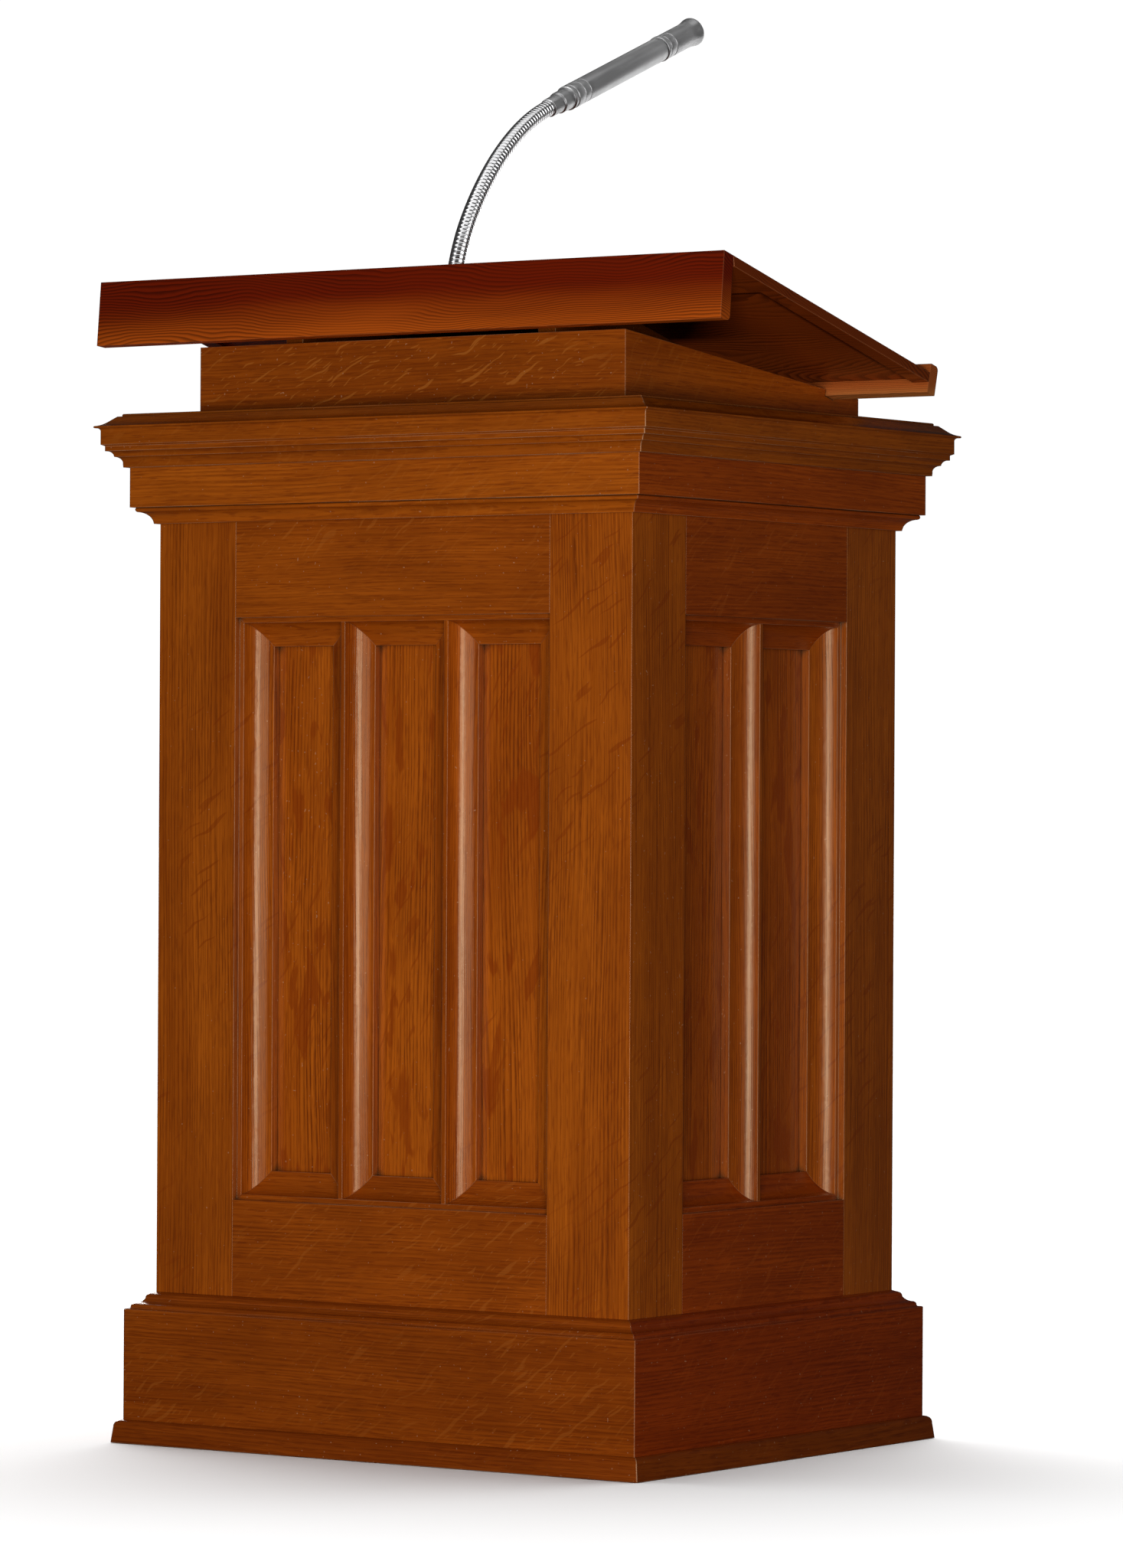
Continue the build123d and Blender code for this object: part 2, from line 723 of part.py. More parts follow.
for side, name in ((-1, "left"), (1, "right")):
    with BuildPart() as riser_side:
        with BuildSketch(Plane.YZ.offset(side * (riser_half_w - RISER_T / 2))):
            with BuildLine():
                Polyline(*side_outline, close=True)
            make_face()
        extrude(amount=RISER_T / 2, both=True)
        add(riser_mitre.part, mode=Mode.SUBTRACT)
        add(ledge_notch.part, mode=Mode.SUBTRACT)
    save(riser_side.part, f"riser_side_{name}")

with BuildPart() as riser_front:
    add(riser_mitre.part)
    add(lengthwise(side_outline, RISER_W), mode=Mode.INTERSECT)
save(riser_front.part, "riser_front")

rail_front_y = riser_half_d - RISER_BACK_RAIL
back_rail_outline = [
    (rail_front_y, TOP_Z),
    (rail_front_y, riser_top(rail_front_y)),
    (riser_half_d, riser_top(riser_half_d)),
    (riser_half_d, TOP_Z),
]
save(lengthwise(back_rail_outline, RISER_W - 2 * RISER_T), "riser_back_rail")

# ---- bearers that carry the desk inside the riser ---------------------------
bearer_start = -riser_half_d + RISER_T


def under_desk(y, depth):
    """height of the board's underside at a given y, the depth measured square to the board"""
    return DESK_FRONT_Z - (y - DESK_FRONT_Y) * tan(SLOPE) - depth / cos(SLOPE)


step_y = on_desk(BOARD_FRONT_RIM, -BOARD_T)[0] + BEARER_PLAY
step_top_y = on_desk(BOARD_FRONT_RIM, -BOARD_THIN)[0] + BEARER_PLAY
bearer_outline = [
    (bearer_start, TOP_Z),
    (bearer_start, under_desk(bearer_start, BOARD_T)),
    (step_y, under_desk(step_y, BOARD_T)),
    (step_top_y, under_desk(step_top_y, BOARD_THIN)),
    (BEARER_END_Y, under_desk(BEARER_END_Y, BOARD_THIN)),
    (BEARER_END_Y, TOP_Z),
]
for side, name in ((-1, "left"), (1, "right")):
    with BuildPart() as bearer:
        with BuildSketch(Plane.YZ.offset(side * BEARER_X)):
            with BuildLine():
                Polyline(*bearer_outline, close=True)
            make_face()
        extrude(amount=BEARER_T / 2, both=True)
    save(bearer.part, f"desk_bearer_{name}")


# ---- flexible neck: curved links, each with a ball in the next one's socket --
def neck_joints():
    """(y, z, tilt from vertical in degrees) of every joint, and of the neck's end"""
    y, z = on_desk(MIC_FROM_FRONT, FERRULE_H)
    tilt = DESK_SLOPE
    joints = [(y, z, tilt)]
    for bend in NECK_BENDS:
        radius = NECK_LINK / radians(bend)
        a = radians(tilt)
        b = radians(tilt + bend)
        y += radius * (cos(a) - cos(b))
        z += radius * (sin(b) - sin(a))
        tilt += bend
        joints.append((y, z, tilt))
    return joints


def along_link(joint, bend, travel):
    """the plane square to a link at a distance along it from its lower joint"""
    y, z, tilt = joint
    radius = NECK_LINK / radians(bend)
    a = radians(tilt)
    b = a + travel / radius
    place = (0, y + radius * (cos(a) - cos(b)), z + radius * (sin(b) - sin(a)))
    return Plane(place, x_dir=(1, 0, 0), z_dir=(0, sin(b), cos(b)))


joints = neck_joints()
for index, bend in enumerate(NECK_BENDS):
    joint = joints[index]
    after = joints[index + 1]
    last = index == len(NECK_BENDS) - 1
    length = NECK_LINK - LINK_GAP - (0 if last else LINK_GAP)
    radius = NECK_LINK / radians(bend)
    tilt = radians(joint[2])
    centre = (0, joint[0] + radius * cos(tilt), joint[1] - radius * sin(tilt))
    with BuildPart() as link:
        with BuildSketch(along_link(joint, bend, LINK_GAP)):
            Circle(NECK_R - RIB_DEPTH)
        revolve(axis=Axis(centre, (-1, 0, 0)), revolution_arc=degrees(length / radius))
        with Locations((0, joint[0], joint[1])):
            Sphere(BALL_R + BALL_PLAY, mode=Mode.SUBTRACT)
        if not last:
            with Locations((0, after[0], after[1])):
                Sphere(BALL_R)
        for rib in range(int(length / RIB_PITCH)):
            with BuildSketch(along_link(joint, bend, LINK_GAP + (rib + 0.5) * RIB_PITCH)):
                Circle(NECK_R)
                Circle(RIB_BORE, mode=Mode.SUBTRACT)
            extrude(amount=RIB_W / 2, both=True)
    save(link.part, f"neck_link_{index + 1}")

# ---- microphone: turned pieces along the end of the neck --------------------
end_y, end_z, end_tilt = joints[-1]
axis_dir = (0, sin(radians(end_tilt)), cos(radians(end_tilt)))


def mic_plane(distance):
    """the plane square to the microphone at a distance from the end of the neck"""
    place = (0, end_y + distance * axis_dir[1], end_z + distance * axis_dir[2])
    return Plane(place, x_dir=(1, 0, 0), z_dir=axis_dir)


collar_l = COLLAR_STEP * len(COLLAR_RADII)
with BuildPart() as collar:
    for index, step_r in enumerate(COLLAR_RADII):
        with BuildSketch(mic_plane(index * COLLAR_STEP)):
            Circle(step_r)
        extrude(amount=COLLAR_STEP)
    with BuildSketch(mic_plane(collar_l)):
        Circle(MIC_PIN_R + PIN_PLAY)
    extrude(amount=-MIC_PIN_L - OVERCUT, mode=Mode.SUBTRACT)
save(collar.part, "microphone_collar")

barrel_start = collar_l
barrel_end = barrel_start + BARREL_L
with BuildPart() as barrel:
    with BuildSketch(mic_plane(barrel_start)):
        Circle(BARREL_R)
    extrude(amount=BARREL_L)
    with BuildSketch(mic_plane(barrel_start)):
        Circle(MIC_PIN_R)
    extrude(amount=-MIC_PIN_L)
    with BuildSketch(mic_plane(barrel_end)):
        Circle(MIC_PIN_R)
    extrude(amount=MIC_PIN_L)
save(barrel.part, "microphone_barrel")

with BuildPart() as head:
    with BuildSketch(mic_plane(barrel_end)):
        Circle(RING_R)
    extrude(amount=RING_L)
    with BuildSketch(mic_plane(barrel_end + RING_L)):
        Circle(CAP_R)
    extrude(amount=CAP_L - FLARE_L)
    with BuildSketch(mic_plane(barrel_end + RING_L + CAP_L - FLARE_L)):
        Circle(CAP_R)
    with BuildSketch(mic_plane(barrel_end + RING_L + CAP_L - FLARE_L / 3)):
        Circle(FLARE_R)
    loft()
    with BuildSketch(mic_plane(barrel_end + RING_L + CAP_L - FLARE_L / 3)):
        Circle(FLARE_R)
    extrude(amount=FLARE_L / 3)
    with BuildSketch(mic_plane(barrel_end + RING_L + CAP_L)):
        Circle(GRILLE_R)
    extrude(amount=-GRILLE_DEPTH, mode=Mode.SUBTRACT)
    with BuildSketch(mic_plane(barrel_end)):
        Circle(MIC_PIN_R + PIN_PLAY)
    extrude(amount=MIC_PIN_L + OVERCUT, mode=Mode.SUBTRACT)
save(head.part, "microphone_head")
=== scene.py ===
import json
import math
import random

import bpy
from mathutils import Matrix, Vector


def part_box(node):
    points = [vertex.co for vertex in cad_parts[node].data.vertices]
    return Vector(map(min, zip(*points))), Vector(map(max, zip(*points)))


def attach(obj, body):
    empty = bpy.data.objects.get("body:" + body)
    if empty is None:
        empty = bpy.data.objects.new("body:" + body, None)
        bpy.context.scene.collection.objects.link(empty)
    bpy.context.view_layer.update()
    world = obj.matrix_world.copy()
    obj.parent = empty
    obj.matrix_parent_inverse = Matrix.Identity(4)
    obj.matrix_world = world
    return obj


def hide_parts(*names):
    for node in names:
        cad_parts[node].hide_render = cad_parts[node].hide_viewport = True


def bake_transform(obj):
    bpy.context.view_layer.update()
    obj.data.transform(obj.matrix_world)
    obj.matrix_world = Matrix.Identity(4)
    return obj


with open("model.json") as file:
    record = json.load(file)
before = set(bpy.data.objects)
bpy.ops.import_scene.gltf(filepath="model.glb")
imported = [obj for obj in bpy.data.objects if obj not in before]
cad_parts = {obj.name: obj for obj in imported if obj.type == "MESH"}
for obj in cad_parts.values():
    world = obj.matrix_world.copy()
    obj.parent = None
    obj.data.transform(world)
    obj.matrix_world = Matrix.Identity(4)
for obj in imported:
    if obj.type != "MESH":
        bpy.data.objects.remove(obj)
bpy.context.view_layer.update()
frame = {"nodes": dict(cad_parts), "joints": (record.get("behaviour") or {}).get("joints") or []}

# An oak pulpit with a pine desk and a microphone on a flexible neck.
# Every piece stands where the frame has it; this script gives it its looks.
# Lengths are in metres and colours are linear, unless a comment says otherwise.

NODES = frame["nodes"]
MM = 0.001

# ---- camera -----------------------------------------------------------------
CAMERA_AT = (3.6473, -5.2694, 0.6348)
CAMERA_AZIMUTH = math.radians(34.4)
CAMERA_PITCH = math.radians(0.14)
CAMERA_ROLL = math.radians(0.30)
CAMERA_LENS = 148.4
CAMERA_SENSOR = 36.0
CAMERA_CLIP = (0.1, 200.0)


def camera():
    """the photograph's point of view"""
    a, t, r = CAMERA_AZIMUTH, CAMERA_PITCH, CAMERA_ROLL
    forward = Vector((-math.sin(a) * math.cos(t), math.cos(a) * math.cos(t), math.sin(t)))
    level = Vector((math.cos(a), math.sin(a), 0.0))
    upright = level.cross(forward)
    right = level * math.cos(r) + upright * math.sin(r)
    up = upright * math.cos(r) - level * math.sin(r)
    data = bpy.data.cameras.new("camera")
    data.lens = CAMERA_LENS
    data.sensor_fit = "AUTO"
    data.sensor_width = CAMERA_SENSOR
    data.clip_start, data.clip_end = CAMERA_CLIP
    made = bpy.data.objects.new("camera", data)
    turn = Matrix((right, up, -forward)).transposed().to_4x4()
    made.matrix_world = Matrix.Translation(CAMERA_AT) @ turn
    bpy.context.scene.collection.objects.link(made)
    bpy.context.scene.camera = made


# ---- materials --------------------------------------------------------------
class Look:
    """a node material in the making"""

    def __init__(self, name):
        self.material = bpy.data.materials.new(name)
        self.material.use_nodes = True
        self.tree = self.material.node_tree
        self.tree.nodes.clear()

    def add(self, kind, inputs=None, **settings):
        node = self.tree.nodes.new("ShaderNode" + kind)
        for key, value in settings.items():
            setattr(node, key, value)
        for key, value in (inputs or {}).items():
            socket = node.inputs[key]
            if isinstance(value, bpy.types.NodeSocket):
                self.tree.links.new(value, socket)
            else:
                socket.default_value = value
        return node

    def maths(self, operation, *values):
        inputs = dict(enumerate(values))
        return self.add("Math", inputs, operation=operation).outputs[0]

    def times(self, first, second, plus=None):
        """first times second, and plus added to it where there is one"""
        if plus is None:
            return self.maths("MULTIPLY", first, second)
        return self.maths("MULTIPLY_ADD", first, second, plus)

    def axes(self, kind):
        """X, Y and Z of the piece's own coordinates (Object) or of its normal (Normal)"""
        source = self.add("TexCoord").outputs[kind]
        return self.add("SeparateXYZ", {"Vector": source}).outputs

    def vector(self, x, y, z=0.0):
        return self.add("CombineXYZ", {"X": x, "Y": y, "Z": z}).outputs[0]

    def noise(self, vector, scale=1.0, detail=2.0, rough=0.5, warp=0.0):
        inputs = {"Vector": vector, "Scale": scale, "Detail": detail}
        inputs.update({"Roughness": rough, "Distortion": warp})
        return self.add("TexNoise", inputs).outputs["Fac"]

    def stretched(self, parts, scales, **noise):
        """noise in coordinates that are each scaled by their own amount"""
        scaled = [self.times(part, scale) for part, scale in zip(parts, scales)]
        return self.noise(self.vector(*scaled), **noise)

    def span(self, value, low, high, start=0.0, end=1.0):
        """value taken from low..high to start..end, smoothly and clamped"""
        inputs = {"Value": value, "From Min": low, "From Max": high, "To Min": start, "To Max": end}
        return self.add("MapRange", inputs, interpolation_type="SMOOTHSTEP").outputs["Result"]

    def mix(self, amount, first, second):
        node = self.add("Mix", {0: amount, 6: first, 7: second}, data_type="RGBA")
        return node.outputs[2]

    def bump(self, height, distance, strength=1.0, after=None):
        inputs = {"Height": height, "Distance": distance, "Strength": strength}
        if after is not None:
            inputs["Normal"] = after
        return self.add("Bump", inputs).outputs["Normal"]

    def surface(self, **inputs):
        shader = self.add("BsdfPrincipled", {k.replace("_", " "): v for k, v in inputs.items()})
        self.add("OutputMaterial", {"Surface": shader.outputs[0]})
        return self.material


def shade(colour, by=1.0):
    return (colour[0] * by, colour[1] * by, colour[2] * by, 1.0)


ARRIS_TURN = (0.02, 0.16)
CREVICE_SKY = (0.70, 0.20)


def arris_edge(look, reach):
    """1 on an arris and 0 on a flat, and the normal with its arrises eased"""
    soft = look.add("Bevel", {"Radius": reach}, samples=6).outputs["Normal"]
    hard = look.add("NewGeometry").outputs["Normal"]
    turn = look.add("VectorMath", {0: soft, 1: hard}, operation="DOT_PRODUCT").outputs["Value"]
    return look.span(look.maths("SUBTRACT", 1.0, turn), *ARRIS_TURN), soft


def crevice(look, reach):
    """1 deep in a corner, 0 in the open; it sets how much painted shade a corner gets"""
    open_sky = look.add("AmbientOcclusion", {"Distance": reach}, samples=8).outputs["AO"]
    return look.span(open_sky, *CREVICE_SKY)


def dress(thing, material):
    thing.data.materials.clear()
    thing.data.materials.append(material)


# ---- oak --------------------------------------------------------------------
OAK_DARK = (0.355, 0.066, 0.0030)
OAK_LIGHT = (0.560, 0.122, 0.0062)
OAK_LINE = (0.150, 0.022, 0.0016)
PALE_RAY = (0.66, 0.200, 0.026)
DARK_RAY = (0.265, 0.036, 0.0016)
# pale of worn arrises and flecks; on the arrises it is also a painted highlight
PALE_WEAR_AND_HIGHLIGHT = (0.80, 0.46, 0.25)
# the colour of the painted shade deep in the oak's corners
CORNER_SHADE = (0.040, 0.010, 0.0015)
OAK_SHEEN = (1.0, 0.76, 0.48)
OAK_RINGS = 250.0           # yearly lines to a metre
GRAIN_DRIFT = 36 * MM       # how far the grain wanders, slowly
GRAIN_SWAY = 3 * MM         # and quickly
RAY_CURL = 16 * MM
OAK_ARRIS = 1.1 * MM
OAK_CREVICE = 10 * MM
OAK_RELIEF = 0.1 * MM
VARNISH_ROUGHNESS = (0.225, 0.295)
OFFSET = 9.0                # each board is cut from a place of its own in the noise
GRAIN_ORDER = {"X": "YZX", "Y": "ZXY", "Z": "XYZ"}


def grain_space(look, along, seed):
    """coordinates (across, through, along the grain) of this board"""
    axes = look.axes("Object")
    shuffle = random.Random(seed)
    return [look.maths("ADD", axes[x], shuffle.uniform(-OFFSET, OFFSET)) for x in GRAIN_ORDER[along]]


def yearly_lines(look, side, bend, length):
    """dark lines, fine and close, that fade in and out and break up"""
    uneven = look.stretched((bend, length), (46.0, 1.5), detail=2.0)
    ring = look.maths("FRACT", look.times(uneven, 5.0, plus=look.times(bend, OAK_RINGS)))
    stripe = look.times(look.span(ring, 0.30, 0.74), look.span(ring, 1.0, 0.82))
    fading = look.stretched((side, length), (26.0, 5.0), detail=2.0)
    broken = look.stretched((bend, length), (520.0, 46.0), detail=2.0, rough=0.6)
    stripe = look.times(stripe, look.span(fading, 0.34, 0.66, 0.25, 1.0))
    return look.times(stripe, look.span(broken, 0.30, 0.62, 0.35, 1.0))


def rays(look, side, length, slant):
    """medullary rays: long flakes that lean across the grain, in patches; narrow, then broad"""
    tilted = look.times(side, math.cos(slant), plus=look.times(length, math.sin(slant)))
    square = look.times(side, -math.sin(slant), plus=look.times(length, math.cos(slant)))
    swirl = look.stretched((tilted, square), (30.0, 16.0), detail=1.0)
    curl = look.times(swirl, RAY_CURL, plus=square)
    flake = look.stretched((tilted, curl), (21.0, 190.0), detail=0.0)
    short = look.stretched((tilted, curl), (60.0, 330.0), detail=1.0)
    patch = look.span(look.stretched((side, length), (5.0, 3.4), detail=1.0), 0.40, 0.58)
    broad = look.maths("MAXIMUM", look.span(flake, 0.68, 0.74), look.span(short, 0.64, 0.70))
    return look.times(look.span(flake, 0.675, 0.72), patch), look.times(broad, patch)


def oak(name, along, seed, tone, warmth, line=0.7, pale=0.0, dark=0.0, slant=0.65,
        blush=0.0, wear=0.45, gloss=0.42, matte=0.0):
    """varnished quarter-sawn oak with its grain along one axis

    tone and warmth set the varnish, and on some boards tone also holds painted shade, line the yearly
    lines, pale and dark the rays, which lean by slant, blush the cloudy stain, wear the
    pale arrises, partly worn and partly a painted highlight, gloss and matte the shine
    """

    def tint(colour, by=1.0):
        red, rest = tone * by, tone * warmth * by
        return (colour[0] * red, colour[1] * rest, colour[2] * rest, 1.0)

    look = Look(name)
    across, through, length = grain_space(look, along, seed)
    side = look.maths("ADD", across, through)
    drift = look.stretched((side, length), (2.2, 1.1), detail=1.0)
    sway = look.stretched((side, length), (34.0, 8.0), detail=1.0)
    bend = look.times(sway, GRAIN_SWAY, plus=look.times(drift, GRAIN_DRIFT, plus=side))

    fibre = look.stretched((bend, through, length), (420.0, 160.0, 9.0), detail=2.5, rough=0.65)
    broad = look.stretched((bend, length), (19.0, 1.6), detail=3.0, rough=0.6)
    mottle = look.stretched((across, through, length), (11.0, 11.0, 7.0), detail=4.0, rough=0.65)
    pores = look.stretched((bend, through, length), (760.0, 300.0, 42.0), detail=1.5, rough=0.6)
    stripe = yearly_lines(look, side, bend, length)

    fine, coarse = look.span(fibre, 0.32, 0.68, 0.0, 0.5), look.span(broad, 0.34, 0.68, 0.0, 0.5)
    colour = look.mix(look.maths("ADD", fine, coarse), tint(OAK_DARK), tint(OAK_LIGHT))
    colour = look.mix(look.span(mottle, 0.40, 0.68, 0.0, 0.42), colour, tint(OAK_DARK, 0.84))
    colour = look.mix(look.times(stripe, line), colour, tint(OAK_LINE))
    colour = look.mix(look.span(pores, 0.54, 0.66, 0.0, 0.50), colour, tint(OAK_LINE, 1.5))
    if dark or pale:
        narrow_rays, broad_rays = rays(look, side, length, slant)
        colour = look.mix(look.times(narrow_rays, dark), colour, tint(DARK_RAY))
        colour = look.mix(look.times(broad_rays, pale), colour, tint(PALE_RAY))
    if blush:
        cloud = look.stretched((side, length), (46.0, 11.0), detail=3.0, warp=0.5)
        colour = look.mix(look.span(cloud, 0.56, 0.61, 0.0, blush), colour, tint(DARK_RAY))

    arris, soft = arris_edge(look, OAK_ARRIS)
    rubbed_and_lit = look.times(arris, look.span(mottle, 0.38, 0.62, 0.15, 1.0))
    # the arrises are paler: partly real wear and dust, partly a painted highlight where they catch the
    # light
    colour = look.mix(look.times(rubbed_and_lit, wear), colour, shade(PALE_WEAR_AND_HIGHLIGHT))
    # painted shade: the oak darkens deep in its corners and hollows, where little light reaches
    colour = look.mix(look.times(crevice(look, OAK_CREVICE), 0.9), colour, shade(CORNER_SHADE))
    dots = look.stretched((across, through, length), (420.0, 420.0, 420.0), detail=0.0)
    colour = look.mix(look.span(dots, 0.83, 0.85, 0.0, 0.35), colour, shade(PALE_WEAR_AND_HIGHLIGHT))
    smooth, rough = VARNISH_ROUGHNESS
    normal = look.bump(look.times(stripe, -1.0), OAK_RELIEF, 0.5, soft)
    normal = look.bump(fibre, OAK_RELIEF, 0.45, normal)
    return look.surface(
        Base_Color=colour,
        Roughness=look.span(fibre, 0.25, 0.75, smooth + matte, rough + matte),
        Normal=normal,
        Specular_IOR_Level=gloss,
        Specular_Tint=shade(OAK_SHEEN),
    )


# how deep each board's varnish is (tone), and how much yellow is left in it (warmth); the tones of the
# boards at the top and at the bottom also hold painted shade, darker where the light falls off;
# the first key that is part of a board's name counts
VARNISH_AND_SHADE = {
    "post": (1.07, 1.05),
    "side_panel": (1.08, 0.96),
    "panel": (1.17, 1.05),
    "muntin": (1.0, 1.0),
    "side_top_rail": (0.90, 0.80),
    "front_top_rail": (0.98, 1.0),
    "front_bottom_rail": (0.84, 0.94),
    "side_bottom_rail": (0.90, 0.70),
    "plinth_board_right": (0.72, 0.60),
    "plinth": (0.75, 0.92),
    "shoe": (0.62, 0.86),
    "frieze_board_right": (1.04, 0.80),
    "frieze": (1.12, 1.06),
    "cornice": (0.92, 1.04),
    "top_board": (0.72, 1.1),
    "riser_front": (0.84, 0.98),
    "riser": (1.02, 0.98),
    "back": (0.85, 1.0),
    "shelf": (0.7, 1.0),
    "bottom_board": (0.66, 1.0),
    "desk_bearer": (0.5, 1.0),
}
NOT_OAK = ("neck_", "microphone", "desk_board", "desk_apron", "book_ledge")


def figure_of(name):
    """which way a board's grain runs, and what shows of its figure"""
    if "panel" in name:
        return {"along": "Z", "dark": 0.45, "slant": 1.1, "blush": 0.60, "wear": 0.25, "line": 0.95}
    if "post" in name:
        return {"along": "Z", "dark": 0.50, "slant": 0.62, "line": 0.8}
    if "muntin" in name:
        return {"along": "Z", "dark": 0.3}
    if name in ("riser_front", "riser_back_rail"):
        return {"along": "X", "pale": 0.6, "slant": 1.12, "line": 0.4}
    if name.startswith(("riser_side", "desk_bearer")):
        return {"along": "Y", "pale": 0.15, "line": 0.35}
    if name.startswith(("left_side", "right_side")) or name.endswith(("_left", "_right")):
        return {"along": "Y", "pale": 0.2, "slant": 0.9, "line": 0.5}
    return {"along": "X", "pale": 0.3, "slant": 0.9, "line": 0.5}


def paint_wood():
    """each oak board gets a grain of its own"""
    for seed, (name, node) in enumerate(sorted(NODES.items()), start=3):
        if name.startswith(NOT_OAK):
            continue
        # tone is the varnish, and on the top and bottom boards also painted shade
        tone, warmth = next(depth for key, depth in VARNISH_AND_SHADE.items() if key in name)
        tone *= random.Random(seed * 7).uniform(0.97, 1.03)
        figure = figure_of(name)
        if name.startswith(("frieze", "cornice", "shoe")):
            figure.update(pale=0.10, wear=0.85)
        if name in ("right_side_muntin", "back_right_post"):
            figure.update(gloss=0.80, matte=0.10)
        dress(node, oak(name + "_oak", seed=seed, tone=tone, warmth=warmth, **figure))


# ---- pine -------------------------------------------------------------------
PINE_LATE = (0.02, 0.002, 0.0008)
PINE_FIBRE = (0.03, 0.004, 0.001)
# the colour of the painted shade on the pine's ends
PINE_END_SHADE = (0.02, 0.003, 0.001)
PINE_WORN = (0.42, 0.15, 0.06)
# the colour of the painted shade deep in the pine's corners
PINE_CORNER_SHADE = (0.012, 0.003, 0.001)
PINE_SHEEN = (1.0, 0.55, 0.32)
PINE_RINGS = 330.0          # growth rings to a metre
PINE_LEAN = 0.55            # how far they climb for each metre through the board
PINE_WAVE = 130 * MM        # how far they wander, slowly
PINE_RIPPLE = 4.5 * MM      # and quickly
PINE_RAGGED = 22 * MM       # how ragged the change from bottom to top is
PINE_ARRIS = 1.6 * MM
PINE_CREVICE = 12 * MM
PINE_OFFSET = 5.0


def pine(name, seed, top, bottom, low, high, ring=1.0, sawn=0.0):
    """red-stained softwood, flat-sawn, with its growth rings along X

    its colour runs from bottom at the height low to top at the height high, ring sets how
    close the rings are, and sawn how much painted shade darkens its ends, the faces turned along X
    """
    look = Look(name)
    axes = look.axes("Object")
    shuffle = random.Random(seed)
    across, height, length = [
        look.maths("ADD", axes[letter], shuffle.uniform(-PINE_OFFSET, PINE_OFFSET)) for letter in "YZX"
    ]
    place = (length, across, height)
    wave = look.stretched(place, (2.4, 5.0, 7.0), detail=2.0)
    ripple = look.stretched(place, (22.0, 40.0, 40.0), detail=2.0)
    fibre = look.stretched(place, (12.0, 700.0, 700.0), detail=2.0)
    patch = look.stretched(place, (3.0, 14.0, 22.0), detail=2.0)
    rings = look.times(wave, PINE_WAVE, plus=look.times(across, PINE_LEAN, plus=height))
    rings = look.times(ripple, PINE_RIPPLE, plus=rings)
    turn = look.maths("FRACT", look.times(rings, PINE_RINGS * ring))
    late = look.times(look.span(turn, 0.25, 0.86), look.span(turn, 1.0, 0.93))
    late = look.times(late, look.span(patch, 0.34, 0.60, 0.50, 1.0))

    rise = look.span(look.times(patch, PINE_RAGGED, plus=axes["Z"]), low, high)
    colour = look.mix(rise, shade(bottom), shade(top))
    colour = look.mix(look.times(late, 0.85), colour, look.mix(0.72, colour, shade(PINE_LATE)))
    streak = look.mix(0.5, colour, shade(PINE_FIBRE))
    colour = look.mix(look.span(fibre, 0.45, 0.75, 0.0, 0.25), colour, streak)
    # painted shade: the faces turned along X, the board's ends, are darkened by sawn
    end = look.span(look.maths("ABSOLUTE", look.axes("Normal")["X"]), 0.6, 0.95, 0.0, sawn)
    colour = look.mix(end, colour, shade(PINE_END_SHADE))
    arris, soft = arris_edge(look, PINE_ARRIS)
    colour = look.mix(look.times(arris, 0.42), colour, shade(PINE_WORN))
    # painted shade: the pine darkens deep in its corners, where little light reaches
    colour = look.mix(look.times(crevice(look, PINE_CREVICE), 0.85), colour, shade(PINE_CORNER_SHADE))
    normal = look.bump(late, 0.12 * MM, 0.5, soft)
    normal = look.bump(fibre, 0.10 * MM, 0.4, normal)
    return look.surface(
        Base_Color=colour,
        Roughness=look.span(fibre, 0.3, 0.7, 0.30, 0.40),
        Normal=normal,
        Specular_IOR_Level=0.30,
        Specular_Tint=shade(PINE_SHEEN),
    )


APRON_MARGIN = 10 * MM      # at the apron's foot and top, where its colour no longer changes
# the apron is darker at its top and lighter at its foot: partly its stain, partly a painted reflection
APRON_STAIN_AND_REFLECTION = {"top": (0.225, 0.0142, 0.0012), "bottom": (0.67, 0.118, 0.0080)}
BOARD_COLOURS = {"top": (0.22, 0.034, 0.003), "bottom": (0.28, 0.050, 0.005)}
LEDGE_COLOURS = {"top": (0.70, 0.16, 0.030), "bottom": (0.90, 0.36, 0.09)}


def paint_desk():
    low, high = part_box("desk_apron")
    foot, head = low.z + APRON_MARGIN, high.z - APRON_MARGIN
    # partly stain and partly painted reflection, from dark at the top to light at the foot
    apron = pine("apron_pine", 5, low=foot, high=head, **APRON_STAIN_AND_REFLECTION)
    board = pine("board_pine", 9, low=1.0, high=1.14, sawn=0.55, **BOARD_COLOURS)
    ledge = pine("ledge_pine", 14, low=1.03, high=1.06, ring=1.4, **LEDGE_COLOURS)
    dress(NODES["desk_apron"], apron)
    dress(NODES["desk_board"], board)
    dress(NODES["book_ledge"], ledge)


# ---- metal ------------------------------------------------------------------
CHROME = (0.86, 0.86, 0.87)
FLANGE_CHROME = (0.72, 0.72, 0.73)
SATIN = (0.50, 0.50, 0.505)
STEEL = (0.56, 0.56, 0.57)
# the colour of the painted shade in the metal's corners and grooves
METAL_CORNER_SHADE = (0.02, 0.02, 0.02)
METAL_CREVICE = 2.5 * MM
SCRATCH_DEPTH = 0.03 * MM


